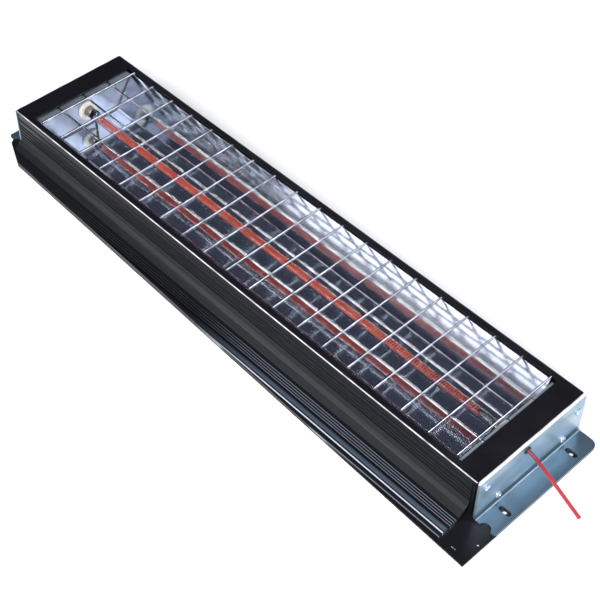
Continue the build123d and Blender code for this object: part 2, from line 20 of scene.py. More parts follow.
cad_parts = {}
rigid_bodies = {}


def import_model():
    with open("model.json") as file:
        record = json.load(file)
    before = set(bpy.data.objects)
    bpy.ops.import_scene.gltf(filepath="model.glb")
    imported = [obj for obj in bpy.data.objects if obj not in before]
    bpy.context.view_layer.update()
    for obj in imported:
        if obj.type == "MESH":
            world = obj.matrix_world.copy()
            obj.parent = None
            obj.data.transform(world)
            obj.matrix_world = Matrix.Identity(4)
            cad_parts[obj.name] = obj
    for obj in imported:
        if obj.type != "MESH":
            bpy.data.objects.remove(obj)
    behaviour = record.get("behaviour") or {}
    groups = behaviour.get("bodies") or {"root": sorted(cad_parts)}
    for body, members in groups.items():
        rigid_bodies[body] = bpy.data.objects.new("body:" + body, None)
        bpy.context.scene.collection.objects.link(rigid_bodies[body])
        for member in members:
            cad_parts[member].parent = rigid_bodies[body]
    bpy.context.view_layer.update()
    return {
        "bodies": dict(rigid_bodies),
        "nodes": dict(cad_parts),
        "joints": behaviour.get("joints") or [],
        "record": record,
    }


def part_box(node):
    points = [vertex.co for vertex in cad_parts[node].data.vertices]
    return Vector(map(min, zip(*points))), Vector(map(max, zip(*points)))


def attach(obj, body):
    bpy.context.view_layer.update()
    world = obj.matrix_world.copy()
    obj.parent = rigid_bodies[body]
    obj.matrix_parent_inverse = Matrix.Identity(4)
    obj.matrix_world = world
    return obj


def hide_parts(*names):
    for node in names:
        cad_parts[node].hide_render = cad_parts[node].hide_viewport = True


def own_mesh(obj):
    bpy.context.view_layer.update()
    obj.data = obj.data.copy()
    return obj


log = logging.getLogger("heater")
MM = 0.001


class Body(Enum):
    """The rigid bodies that pieces ride on."""

    HEATER = "heater"
    PLUNGER_LEFT = "plunger_left"
    PLUNGER_RIGHT = "plunger_right"


class Side(Enum):
    """The two ends of the heater; the value is the sign of X."""

    LEFT = -1
    RIGHT = 1

    @property
    def word(self) -> str:
        """The end's name as the nodes spell it."""
        return self.name.lower()


def linear(hex_colour: str) -> tuple[float, float, float, float]:
    """Turns an sRGB hex colour into linear RGBA.

    Args:
        hex_colour: Six hex digits after a hash sign.

    Returns:
        Linear red, green, blue and an alpha of one.
    """
    parts = [int(hex_colour[i:i + 2], 16) / 255 for i in (1, 3, 5)]
    red, green, blue = (p / 12.92 if p <= 0.04045 else ((p + 0.055) / 1.055) ** 2.4 for p in parts)
    return (red, green, blue, 1.0)


def put(tree: bpy.types.NodeTree, kind: str, wires: dict[Any, Any] | None = None,
        **settings: Any) -> bpy.types.Node:
    """Adds a node with its settings, values and links.

    Args:
        tree: The node tree that the node goes into.
        kind: The node's type name.
        wires: Input name or index to a value, or to the socket that feeds it.
        settings: The node's own properties.

    Returns:
        The new node.
    """
    node = tree.nodes.new(kind)
    for key, value in settings.items():
        setattr(node, key, value)
    for key, value in (wires or {}).items():
        if isinstance(value, bpy.types.NodeSocket):
            tree.links.new(value, node.inputs[key])
        else:
            node.inputs[key].default_value = value
    return node


# ---------------------------------------------------------------------------------------------------
# Finishes
# ---------------------------------------------------------------------------------------------------


@dataclass(frozen=True)
class Finish:
    """A plain finish, and what every other finish shares."""

    name: str
    slot: str
    colour: str
    roughness: float
    metallic: float = 0.0

    def material(self) -> bpy.types.Material:
        """Builds the material once and returns it from then on."""
        known = bpy.data.materials.get(self.name)
        if known is not None:
            return known
        made = bpy.data.materials.new(self.name)
        made.use_nodes = True
        tree = made.node_tree
        tree.nodes.clear()
        shader = put(tree, "ShaderNodeBsdfPrincipled", {
            "Base Color": linear(self.colour), "Roughness": self.roughness, "Metallic": self.metallic})
        put(tree, "ShaderNodeOutputMaterial", {"Surface": shader.outputs["BSDF"]})
        place = put(tree, "ShaderNodeTexCoord").outputs["Object"]
        self.shade(tree, shader, place)
        made.diffuse_color = linear(self.colour)
        return made

    def shade(self, tree: bpy.types.NodeTree, shader: bpy.types.Node, place: bpy.types.NodeSocket) -> None:
        """Adds the finish's own pattern; the plain one has a faint mottle."""
        self.mottled(tree, shader, place, 60.0, self.colour, self.colour, 0.03)

    def cloud(self, tree: bpy.types.NodeTree, place: bpy.types.NodeSocket,
              grain_mm: tuple[float, float, float], low: float, high: float, detail: float = 3.0,
              seed: float = 0.0) -> bpy.types.NodeSocket:
        """Noise with a grain of real size.

        Args:
            tree: The material's tree.
            place: Object coordinates, in metres.
            grain_mm: Size of one patch along X, Y and Z, in millimetres.
            low: Value in the hollows.
            high: Value on the crests.
            detail: Octaves of finer noise.
            seed: Shift that tells one cloud from another.

        Returns:
            The socket that carries the value.
        """
        sized = put(tree, "ShaderNodeMapping", {
            "Vector": place, "Location": (seed, seed * 1.7, seed * 0.6),
            "Scale": tuple(1000.0 / g for g in grain_mm)}).outputs["Vector"]
        noise = put(tree, "ShaderNodeTexNoise", {"Vector": sized, "Scale": 1.0, "Detail": detail})
        return put(tree, "ShaderNodeMapRange", {
            "Value": noise.outputs[0], "From Min": 0.32, "From Max": 0.68, "To Min": low,
            "To Max": high}).outputs["Result"]

    def tint(self, tree: bpy.types.NodeTree, share: bpy.types.NodeSocket, first: Any,
             second: Any) -> bpy.types.NodeSocket:
        """Blends two colours, each a hex string or a socket, by a share."""
        ends = [linear(c) if isinstance(c, str) else c for c in (first, second)]
        blend = put(tree, "ShaderNodeMix", {0: share, 6: ends[0], 7: ends[1]}, data_type="RGBA")
        return blend.outputs[2]

    def relief(self, tree: bpy.types.NodeTree, shader: bpy.types.Node, height: bpy.types.NodeSocket,
               depth_mm: float, strength: float = 1.0) -> None:
        """Turns a height from 0 to 1 into bumps of a depth in millimetres."""
        bump = put(tree, "ShaderNodeBump", {
            "Height": height, "Distance": depth_mm * MM, "Strength": strength})
        tree.links.new(bump.outputs["Normal"], shader.inputs["Normal"])

    def mottled(self, tree: bpy.types.NodeTree, shader: bpy.types.Node, place: bpy.types.NodeSocket,
                patch_mm: float, first: str, second: str, roughness_swing: float) -> None:
        """Soft patches of two colours, and of a slightly different gloss."""
        patches = self.cloud(tree, place, (patch_mm,) * 3, 0.0, 1.0)
        tree.links.new(self.tint(tree, patches, first, second), shader.inputs["Base Color"])
        gloss = self.cloud(tree, place, (patch_mm * 0.6,) * 3, self.roughness - roughness_swing,
                           self.roughness + roughness_swing, seed=3.1)
        tree.links.new(gloss, shader.inputs["Roughness"])

    def between(self, tree: bpy.types.NodeTree, value: bpy.types.NodeSocket, start: float,
                end: float) -> bpy.types.NodeSocket:
        """A smooth 0 to 1 as a value passes from start to end."""
        ramp = put(tree, "ShaderNodeMapRange", {
            "Value": value, "From Min": start, "From Max": end}, interpolation_type="SMOOTHSTEP")
        return ramp.outputs["Result"]


@dataclass(frozen=True)
class SatinPaint(Finish):
    """Black baked powder coat on sheet steel.

    It is near black with a faint purple cast and has the fine orange peel of sprayed powder. A
    painted highlight runs along the outer edges of the face, where they catch the light.
    """

    cast: str = "#121118"
    # Colour of the painted highlight along the outer edges of the face.
    rubbed: str = "#dcdbe4"
    half_length: float = 0.352
    half_width: float = 0.075
    top: float = 0.058
    side_rub: tuple[float, float] = (0.0010, 0.0004)
    top_rub: tuple[float, float] = (0.0013, 0.0006)
    specular: float = 0.35

    def near(self, tree: bpy.types.NodeTree, value: bpy.types.NodeSocket, edge: float,
             span: tuple[float, float]) -> bpy.types.NodeSocket:
        """Rises from 0 to 1 over the last stretch before an edge."""
        return self.between(tree, value, edge - span[0], edge - span[1])

    def shade(self, tree: bpy.types.NodeTree, shader: bpy.types.Node, place: bpy.types.NodeSocket) -> None:
        """Paint patches, a painted highlight along the outer edges, and orange peel."""
        shader.inputs["Specular IOR Level"].default_value = self.specular
        patches = self.cloud(tree, place, (90, 60, 30), 0.0, 1.0)
        paint = self.tint(tree, patches, self.colour, self.cast)
        axes = put(tree, "ShaderNodeSeparateXYZ", {"Vector": place})
        across = put(tree, "ShaderNodeMath", {0: axes.outputs["Y"]}, operation="ABSOLUTE").outputs[0]
        along = put(tree, "ShaderNodeMath", {0: axes.outputs["X"]}, operation="ABSOLUTE").outputs[0]
        # Painted highlight: a mask along the outer top edges of the face, broken up by a cloud.
        beside = self.near(tree, across, self.half_width, self.side_rub)
        beyond = self.near(tree, along, self.half_length, self.side_rub)
        outer = put(tree, "ShaderNodeMath", {0: beside, 1: beyond}, operation="MAXIMUM").outputs[0]
        high = self.near(tree, axes.outputs["Z"], self.top, self.top_rub)
        edge = put(tree, "ShaderNodeMath", {0: outer, 1: high}, operation="MULTIPLY").outputs[0]
        broken = self.cloud(tree, place, (14, 14, 14), 0.35, 1.0, seed=5.0)
        edge_highlight = put(tree, "ShaderNodeMath", {0: edge, 1: broken}, operation="MULTIPLY").outputs[0]
        tree.links.new(self.tint(tree, edge_highlight, paint, self.rubbed), shader.inputs["Base Color"])
        gloss = self.cloud(tree, place, (35, 35, 35), self.roughness - 0.05, self.roughness + 0.07, seed=2.0)
        tree.links.new(gloss, shader.inputs["Roughness"])
        peel = self.cloud(tree, place, (1.6, 1.6, 1.6), 0.0, 1.0, detail=2.0)
        self.relief(tree, shader, peel, 0.02, 0.5)


@dataclass(frozen=True)
class DrawnExtrusion(Finish):
    """Dark anodised aluminium extrusion.

    Die lines run along its length. Painted highlights lie on the crests of the flutes and on a band
    and a line beside them, paler towards +X, and the hollows stay nearly black.
    """

    pale: str = "#16171c"
    # Colours of the painted highlights on the bead crests, on the band and on the thin line.
    bead: str = "#6b7280"
    band: str = "#3d4653"
    line: str = "#b4bbc7"
    bead_places: tuple[float, ...] = (-0.0900, -0.0926, -0.0952, -0.0976, -0.1127)
    bead_half: float = 0.0003
    band_place: tuple[float, float] = (-0.1036, 0.0022)
    line_place: tuple[float, float] = (-0.1077, 0.0005)
    fade: tuple[float, float] = (-0.02, 0.11)
    specular: float = 0.22

    def stripe(self, tree: bpy.types.NodeTree, across: bpy.types.NodeSocket, centre: float,
               half: float) -> bpy.types.NodeSocket:
        """A soft-edged line along X, centred at one Y."""
        offset = put(tree, "ShaderNodeMath", {0: across, 1: -centre}, operation="ADD").outputs[0]
        away = put(tree, "ShaderNodeMath", {0: offset}, operation="ABSOLUTE").outputs[0]
        return self.between(tree, away, half + 0.0002, half - 0.0001)

    def shade(self, tree: bpy.types.NodeTree, shader: bpy.types.Node, place: bpy.types.NodeSocket) -> None:
        """Die lines, long faint streaks and painted highlights on the crests."""
        shader.inputs["Specular IOR Level"].default_value = self.specular
        streaks = self.cloud(tree, place, (260, 1.4, 1.4), 0.0, 1.0, detail=4.0)
        tone = self.tint(tree, streaks, self.colour, self.pale)
        axes = put(tree, "ShaderNodeSeparateXYZ", {"Vector": place})
        # The painted highlights fade in towards +X.
        rubbed = self.between(tree, axes.outputs["X"], *self.fade)
        painted_stripes = [(y, self.bead_half, self.bead) for y in self.bead_places]
        painted_stripes += [(*self.band_place, self.band), (*self.line_place, self.line)]
        for centre, half, colour in painted_stripes:
            stripe = self.stripe(tree, axes.outputs["Y"], centre, half)
            share = put(tree, "ShaderNodeMath", {0: stripe, 1: rubbed}, operation="MULTIPLY").outputs[0]
            tone = self.tint(tree, share, tone, colour)
        tree.links.new(tone, shader.inputs["Base Color"])
        gloss = self.cloud(tree, place, (180, 2.2, 2.2), self.roughness - 0.06, self.roughness + 0.08,
                           seed=7.0)
        tree.links.new(gloss, shader.inputs["Roughness"])
        self.relief(tree, shader, streaks, 0.012, 0.5)


@dataclass(frozen=True)
class BrightZinc(Finish):
    """Blue-passivated zinc plate on cold-rolled steel.

    It is a pale blue metal with faint rolling streaks across the heater and cloudy patches of gloss.
    Painted shade darkens the foot, and a painted highlight whitens its top edge.
    """

    cloudy: str = "#7590a1"
    # Colour of the painted shade on the foot.
    foot: str = "#5d7383"
    foot_fade: tuple[float, float] = (0.012, 0.003)
    # Colour and metallic of the painted highlight along the top edge.
    edge: str = "#ffffff"
    edge_metallic: float = 0.15
    top: float = 0.0574

    def shade(self, tree: bpy.types.NodeTree, shader: bpy.types.Node, place: bpy.types.NodeSocket) -> None:
        """Rolling streaks, cloudy passivation, painted shade on the foot and a painted highlight on the top
        edge.
        """
        patches = self.cloud(tree, place, (34, 60, 26), 0.0, 1.0)
        plate = self.tint(tree, patches, self.colour, self.cloudy)
        height = put(tree, "ShaderNodeSeparateXYZ", {"Vector": place}).outputs["Z"]
        # Painted highlight: a mask along the top edge, whiter and less metallic.
        cut = self.between(tree, height, self.top - 0.0006, self.top - 0.0001)
        # Painted shade, darker towards the foot.
        low = self.between(tree, height, *self.foot_fade)
        shaded = self.tint(tree, low, plate, self.foot)
        tree.links.new(self.tint(tree, cut, shaded, self.edge), shader.inputs["Base Color"])
        metal = put(tree, "ShaderNodeMapRange", {
            "Value": cut, "To Min": self.metallic, "To Max": self.edge_metallic}).outputs["Result"]
        tree.links.new(metal, shader.inputs["Metallic"])
        gloss = self.cloud(tree, place, (8, 60, 8), self.roughness - 0.05, self.roughness + 0.07, seed=4.0)
        tree.links.new(gloss, shader.inputs["Roughness"])
        rolled = self.cloud(tree, place, (2.0, 50, 2.0), 0.0, 1.0, detail=2.0, seed=8.0)
        self.relief(tree, shader, rolled, 0.003, 0.4)


@dataclass(frozen=True)
class PolishedSheet(Finish):
    """Polished aluminium reflector sheet, rolled along its length.

    It mirrors the lamp; lengthwise rolling streaks and hazy patches soften the reflections.
    """

    hazy: str = "#cfd8e4"

    def shade(self, tree: bpy.types.NodeTree, shader: bpy.types.Node, place: bpy.types.NodeSocket) -> None:
        """Haze, and a gloss that changes in long streaks."""
        haze = self.cloud(tree, place, (45, 30, 30), 0.0, 1.0, seed=1.0)
        tree.links.new(self.tint(tree, haze, self.colour, self.hazy), shader.inputs["Base Color"])
        gloss = self.cloud(tree, place, (240, 9, 9), self.roughness - 0.02, self.roughness + 0.04, seed=6.0)
        tree.links.new(gloss, shader.inputs["Roughness"])


@dataclass(frozen=True)
class BrightWire(Finish):
    """Chromed drawn steel wire: bright, with a fine drawn grain and a little tarnish."""

    tarnish: str = "#a9adb6"

    def shade(self, tree: bpy.types.NodeTree, shader: bpy.types.Node, place: bpy.types.NodeSocket) -> None:
        """Tarnish in short patches."""
        self.mottled(tree, shader, place, 9.0, self.colour, self.tarnish, 0.06)


@dataclass(frozen=True)
class FusedQuartz(Finish):
    """Clear fused quartz: colourless glass of low index, with a faint bloom in patches."""

    ior: float = 1.458
    bloom: float = 0.03

    def shade(self, tree: bpy.types.NodeTree, shader: bpy.types.Node, place: bpy.types.NodeSocket) -> None:
        """Clear body, and the bloom as a slightly softer gloss."""
        shader.inputs["Transmission Weight"].default_value = 1.0
        shader.inputs["IOR"].default_value = self.ior
        patches = self.cloud(tree, place, (70, 9, 9), self.roughness, self.roughness + self.bloom, detail=1.0)
        tree.links.new(patches, shader.inputs["Roughness"])


@dataclass(frozen=True)
class GlowingWire(Finish):
    """Orange-red resistance wire with a soft oxide gloss, a painted glow and painted shade inside each turn.
    """

    hot: str = "#ff7a4a"
    cool: str = "#2a0504"
    deep: str = "#b02a1c"
    axis_height: float = 0.0363
    inner: float = 0.0034
    outer: float = 0.0039
    glow: float = 0.5
    cooling: tuple[float, float] = (0.12, 0.30)

    def shade(self, tree: bpy.types.NodeTree, shader: bpy.types.Node, place: bpy.types.NodeSocket) -> None:
        """Uneven tone along the coil, deeper red towards +X."""
        uneven_tone = self.cloud(tree, place, (22, 6, 3), 0.0, 0.7, seed=2.5)
        centred = put(tree, "ShaderNodeMapping", {
            "Vector": place, "Location": (0.0, 0.0, -self.axis_height), "Scale": (0.0, 1.0, 1.0)})
        radius = put(tree, "ShaderNodeVectorMath", {0: centred.outputs["Vector"]}, operation="LENGTH")
        # Painted shade on the inner side of each turn, which faces the coil's axis; the outer crest keeps the
        # full colour.
        crest = self.between(tree, radius.outputs["Value"], self.inner, self.outer)
        bright = self.tint(tree, uneven_tone, self.colour, self.hot)
        along = put(tree, "ShaderNodeSeparateXYZ", {"Vector": place}).outputs["X"]
        # Deeper red towards +X.
        deeper = self.between(tree, along, *self.cooling)
        ranged = self.tint(tree, deeper, bright, self.deep)
        coil_tone = self.tint(tree, crest, self.cool, ranged)
        tree.links.new(coil_tone, shader.inputs["Base Color"])
        # The emission is a painted glow that lifts the coil's red.
        tree.links.new(coil_tone, shader.inputs["Emission Color"])
        shader.inputs["Emission Strength"].default_value = self.glow
        oxide = self.cloud(tree, place, (3, 3, 3), self.roughness - 0.08, self.roughness + 0.12, seed=6.5)
        tree.links.new(oxide, shader.inputs["Roughness"])


@dataclass(frozen=True)
class GlazedCeramic(Finish):
    """Steatite ceramic, cream, half glazed: faint specks and a soft pitted surface."""

    speck: str = "#c0bcae"

    def shade(self, tree: bpy.types.NodeTree, shader: bpy.types.Node, place: bpy.types.NodeSocket) -> None:
        """Specks and pits."""
        shader.inputs["Coat Weight"].default_value = 0.25
        specks = self.cloud(tree, place, (1.3, 1.3, 1.3), 0.0, 0.8, detail=4.0)
        tree.links.new(self.tint(tree, specks, self.colour, self.speck), shader.inputs["Base Color"])
        gloss = self.cloud(tree, place, (5, 5, 5), self.roughness - 0.06, self.roughness + 0.08, seed=1.5)
        tree.links.new(gloss, shader.inputs["Roughness"])
        self.relief(tree, shader, specks, 0.03, 0.5)


@dataclass(frozen=True)
class SiliconeSheath(Finish):
    """Red silicone lead sheath: matt, slightly dusty, with painted shade, a darker red, where it leaves the
    grommet.
    """

    shaded: str = "#6a1226"
    shade_end: tuple[float, float] = (0.356, 0.388)

    def shade(self, tree: bpy.types.NodeTree, shader: bpy.types.Node, place: bpy.types.NodeSocket) -> None:
        """Dust along the sheath and the painted shade at its start."""
        shader.inputs["Sheen Weight"].default_value = 0.15
        axes = put(tree, "ShaderNodeSeparateXYZ", {"Vector": place})
        # Painted shade: a darker red near the grommet, giving way to the sheath's own red along +X.
        away = self.between(tree, axes.outputs["X"], *self.shade_end)
        dusty = self.cloud(tree, place, (4, 2, 2), 0.75, 1.0)
        share = put(tree, "ShaderNodeMath", {0: away, 1: dusty}, operation="MULTIPLY").outputs[0]
        tree.links.new(self.tint(tree, share, self.shaded, self.colour), shader.inputs["Base Color"])
        gloss = self.cloud(tree, place, (3, 3, 3), self.roughness - 0.08, self.roughness + 0.08, seed=1.2)
        tree.links.new(gloss, shader.inputs["Roughness"])


@dataclass(frozen=True)
class BraidedSleeve(Finish):
    """Woven glass sleeve on an inner wire: off-white, with a fine diagonal braid."""

    gap: str = "#9c978a"
    strand_mm: float = 1.0

    def shade(self, tree: bpy.types.NodeTree, shader: bpy.types.Node, place: bpy.types.NodeSocket) -> None:
        """The braid, as two crossing sets of strands."""
        turned = put(tree, "ShaderNodeMapping", {"Vector": place, "Rotation": (0.0, 0.0, math.radians(45))})
        braid = put(tree, "ShaderNodeTexChecker", {
            "Vector": turned.outputs["Vector"], "Scale": 1000.0 / self.strand_mm}).outputs["Fac"]
        tree.links.new(self.tint(tree, braid, self.colour, self.gap), shader.inputs["Base Color"])
        self.relief(tree, shader, braid, 0.1, 0.5)


@dataclass(frozen=True)
class PaleFloor(Finish):
    """Matt white paper sweep under the object."""

    uneven: str = "#fbfbfb"

    def shade(self, tree: bpy.types.NodeTree, shader: bpy.types.Node, place: bpy.types.NodeSocket) -> None:
        """Barely uneven paper."""
        self.mottled(tree, shader, place, 900.0, self.colour, self.uneven, 0.02)


PAINT = SatinPaint("powder_coated_steel_black", "black_paint", "#0a0a0d", 0.34)
EXTRUSION = DrawnExtrusion("anodised_aluminium_black", "apron_finish", "#0e0f12", 0.34)
ZINC = BrightZinc("zinc_plated_steel_blue", "zinc", "#aab8c4", 0.34, 0.75)
SCREW_PLATE = BrightZinc("zinc_plated_screw", "screw_zinc", "#dfe8f0", 0.24, 0.8, "#b9c6d3")
RIVET_METAL = BrightWire("aluminium_rivet", "rivet", "#b9bac0", 0.4, 1.0, "#8f9096")
MIRROR = PolishedSheet("polished_aluminium_sheet", "reflector", "#dfe3ee", 0.1, 1.0)
END_SHEET = PolishedSheet("satin_aluminium_sheet", "reflector", "#a9b1bd", 0.42, 0.7, "#8d95a6")
# One chromed wire twice: the cross wires are darkened as painted shade, the long wires lightened as a painted
# highlight.
WIRE = BrightWire("chromed_wire", "guard_chrome", "#a9acb4", 0.13, 1.0, "#7d8089")
LONG_WIRE = BrightWire("chromed_wire_new", "guard_chrome", "#eceef3", 0.13, 1.0, "#c4c7cf")
BLUED = BrightWire("blued_spring_steel", "clip_steel", "#1c1d22", 0.35, 0.8, "#2b2d36")
QUARTZ = FusedQuartz("fused_quartz", "quartz", "#ffffff", 0.02)
# The coil's emission is a painted glow, and its inner side carries painted shade.
COIL = GlowingWire("resistance_wire_hot", "coil_wire", "#f23c18", 0.42)
NICKEL = BrightWire("nickel_contact", "nickel", "#b3aea4", 0.3, 1.0, "#8f8a80")
CERAMIC = GlazedCeramic("steatite_ceramic", "ceramic", "#dcdad2", 0.38)
SHEATH = SiliconeSheath("silicone_sheath_red", "silicone", "#a3182b", 0.45)
RUBBER = Finish("grommet_rubber", "grommet", "#141416", 0.6)
SLEEVE = BraidedSleeve("glass_braid_sleeve", "core_wire", "#ddd8ca", 0.7)
BRASS = BrightWire("brass_screw", "brass_screw", "#c9a45c", 0.32, 1.0, "#9a7b42")
PAPER = PaleFloor("paper_sweep", "", "#ffffff", 0.9)


# ---------------------------------------------------------------------------------------------------
# Growing meshes
# ---------------------------------------------------------------------------------------------------


def new_growth(name: str, inputs: dict[str, str]) -> tuple[
        bpy.types.NodeTree, bpy.types.Node, bpy.types.Node]:
    """Starts a Geometry Nodes tree with named inputs.

    Args:
        name: The tree's name.
        inputs: Input name to socket type.

    Returns:
        The tree, its input node and its output node.
    """
    tree = bpy.data.node_groups.new(name, "GeometryNodeTree")
    for label, kind in {"Geometry": "NodeSocketGeometry", **inputs, "Finish": "NodeSocketMaterial"}.items():
        tree.interface.new_socket(label, in_out="INPUT", socket_type=kind)
    tree.interface.new_socket("Geometry", in_out="OUTPUT", socket_type="NodeSocketGeometry")
    return tree, put(tree, "NodeGroupInput"), put(tree, "NodeGroupOutput")


def close_growth(tree: bpy.types.NodeTree, given: bpy.types.Node, result: bpy.types.Node,
                 geometry: bpy.types.NodeSocket) -> None:
    """Ends a tree in Realize Instances and Set Material."""
    real = put(tree, "GeometryNodeRealizeInstances", {"Geometry": geometry}).outputs["Geometry"]
    smooth = put(tree, "GeometryNodeSetShadeSmooth", {"Geometry": real}).outputs["Geometry"]
    dressed = put(tree, "GeometryNodeSetMaterial", {"Geometry": smooth, "Material": given.outputs["Finish"]})
    tree.links.new(dressed.outputs["Geometry"], result.inputs["Geometry"])


def grow(name: str, tree: bpy.types.NodeTree, sizes: dict[str, Any], finish: Finish, body: Body,
         points: list[tuple[float, float, float]] | None = None) -> bpy.types.Object:
    """Runs a tree once and keeps the result as a plain mesh.

    Args:
        name: The piece's name.
        tree: The Geometry Nodes tree.
        sizes: Input name to value.
        finish: The finish that the tree sets.
        body: The body that the piece rides on.
        points: Vertices that the tree starts from, in metres.

    Returns:
        The finished piece.
    """
    start = bpy.data.meshes.new(name)
    start.from_pydata(points or [], [], [])
    piece = bpy.data.objects.new(name, start)
    bpy.context.scene.collection.objects.link(piece)
    modifier = piece.modifiers.new("growth", "NODES")
    modifier.node_group = tree
    given = {**sizes, "Finish": finish.material()}
    for item in tree.interface.items_tree:
        if item.item_type == "SOCKET" and item.in_out == "INPUT" and item.name in given:
            modifier[item.identifier] = given[item.name]
    graph = bpy.context.evaluated_depsgraph_get()
    mesh = bpy.data.meshes.new_from_object(piece.evaluated_get(graph))
    piece.modifiers.clear()
    piece.data = mesh
    mesh.name = name
    return settle(piece, body)


def settle(piece: bpy.types.Object, body: Body) -> bpy.types.Object:
    """Gives a piece its body, and reports it."""
    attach(piece, body.value)
    log.info("%s: %d faces on %s", piece.name, len(getattr(piece.data, "polygons", [])), body.value)
    return piece


def from_bmesh(name: str, shape: bmesh.types.BMesh, finish: Finish) -> bpy.types.Object:
    """Makes an object of a bmesh, with its finish."""
    mesh = bpy.data.meshes.new(name)
    bmesh.ops.recalc_face_normals(shape, faces=shape.faces)
    shape.to_mesh(mesh)
    shape.free()
    piece = bpy.data.objects.new(name, mesh)
    bpy.context.scene.collection.objects.link(piece)
    mesh.materials.append(finish.material())
    return piece


def stations(start: float, end: float, step: float = 0.04, edge: float = 0.5 * MM) -> list[float]:
    """Places along a long piece: even steps, with a narrow ring by each end to keep the ends crisp."""
    count = max(1, round((end - start) / step))
    inner = [start + edge + (end - start - 2 * edge) * i / count for i in range(count + 1)]
    return [start, *inner, end]


def dress(frame: dict[str, Any], finish: Finish, *nodes: str) -> None:
    """Gives carried-over solids their finish.

    Args:
        finish: The finish.
        nodes: Names of the solids.
    """
    for name in nodes:
        solid = frame["nodes"][name]
        solid.data.materials.clear()
        solid.data.materials.append(finish.material())
        log.info("%s: dressed in %s", name, finish.name)


# ---------------------------------------------------------------------------------------------------
# Sub-assemblies
# ---------------------------------------------------------------------------------------------------


@dataclass(frozen=True)
class Softbox:
    """One rectangular soft light: its place, what it faces, its size, its power and its colour."""

    name: str
    where: tuple[float, float, float]
    at: tuple[float, float, float]
    size: tuple[float, float]
    watts: float
    colour: str = "#ffffff"

    def build(self) -> None:
        """Hangs the light."""
        data = bpy.data.lights.new(self.name, "AREA")
        data.shape, data.size, data.size_y = "RECTANGLE", *self.size
        data.energy, data.color = self.watts, linear(self.colour)[:3]
        light = bpy.data.objects.new(self.name, data)
        bpy.context.scene.collection.objects.link(light)
        light.location = self.where
        light.rotation_mode = "QUATERNION"
        light.rotation_quaternion = (Vector(self.at) - Vector(self.where)).to_track_quat("-Z", "Y")


@dataclass
class Studio:
    """Camera, soft lights and the pale sweep.

    The key and the back light shape the box, the panel whitens the far side of the reflector, and
    the two long strips draw the bright lines along the tube and the long wires.
    """

    eye: tuple[float, float, float] = (0.73497, -0.65470, 1.03789)
    gaze: tuple[float, float, float] = (-0.49040, 0.46356, -0.73799)
    roll_degrees: float = 0.18
    lens: float = 80.14
    sensor: float = 36.0
    far: float = 50.0
    room: str = "#3c3f4b"
    backdrop: str = "#ffffff"
    sweep_half: float = 6.0
    sweep_drop: float = 0.2 * MM
    lights: tuple[Softbox, ...] = (
        Softbox("softbox_key", (1.2, -2.0, 2.4), (0.05, 0.0, 0.0), (1.6, 1.6), 185.0),
        Softbox("softbox_back", (1.2, 1.1, 1.8), (0.0, 0.0, 0.03), (0.8, 0.8), 24.0, "#f8faff"),
        Softbox("panel_front", (-0.64, -1.84, 0.56), (0.0, 0.0, 0.05), (1.1, 1.3), 9.0, "#f6f7ff"),
        Softbox("strip_front", (-1.1, -1.76, 0.77), (-1.1, 0.0, 0.05), (1.5, 0.14), 11.0),
        Softbox("strip_back", (-1.18, 1.99, 0.55), (-1.18, 0.0, 0.05), (1.5, 0.18), 12.0))

    def build(self) -> None:
        """Sets up everything that isn't the object."""
        self.camera()
        self.sky()
        for light in self.lights:
            light.build()
        self.floor()

    def camera(self) -> None:
        """The view from above the lead's end."""
        data = bpy.data.cameras.new("view")
        data.lens, data.sensor_width, data.clip_end = self.lens, self.sensor, self.far
        camera = bpy.data.objects.new("view", data)
        bpy.context.scene.collection.objects.link(camera)
        camera.location = self.eye
        camera.rotation_mode = "QUATERNION"
        level = Vector(self.gaze).to_track_quat("-Z", "Y")
        camera.rotation_quaternion = level @ Quaternion((0, 0, 1), math.radians(self.roll_degrees))
        bpy.context.scene.camera = camera

    def sky(self) -> None:
        """A dark room as the metal mirrors it, and a white backdrop as the camera sees it."""
        world = bpy.data.worlds.new("room")
        bpy.context.scene.world = world
        world.use_nodes = True
        tree = world.node_tree
        tree.nodes.clear()
        seen = put(tree, "ShaderNodeLightPath").outputs["Is Camera Ray"]
        tone = put(tree, "ShaderNodeMix", {
            0: seen, 6: linear(self.room), 7: linear(self.backdrop)}, data_type="RGBA")
        glow = put(tree, "ShaderNodeBackground", {"Color": tone.outputs[2], "Strength": 1.0})
        put(tree, "ShaderNodeOutputWorld", {"Surface": glow.outputs["Background"]})
        bpy.context.scene.view_settings.view_transform = "Standard"

    def floor(self) -> None:
        """The sweep, just under the feet."""
        shape = bmesh.new()
        bmesh.ops.create_grid(shape, x_segments=1, y_segments=1, size=self.sweep_half)
        bmesh.ops.translate(shape, verts=shape.verts, vec=(0, 0, -self.sweep_drop))
        piece = from_bmesh("sweep", shape, PAPER)


@dataclass
class Box:
    """The black sheet-steel box, its rims, covers and base plate, and the fluted apron."""

    painted: tuple[str, ...] = ("base_plate", "housing_channel", "rim_near", "rim_far", "end_cover_left",
                                "end_cover_right")

    def build(self, frame: dict[str, Any]) -> None:
        """Dresses the box."""
        dress(frame, PAINT, *self.painted)
        dress(frame, EXTRUSION, "apron_extrusion")
        dress(frame, RIVET_METAL, "base_rivets")


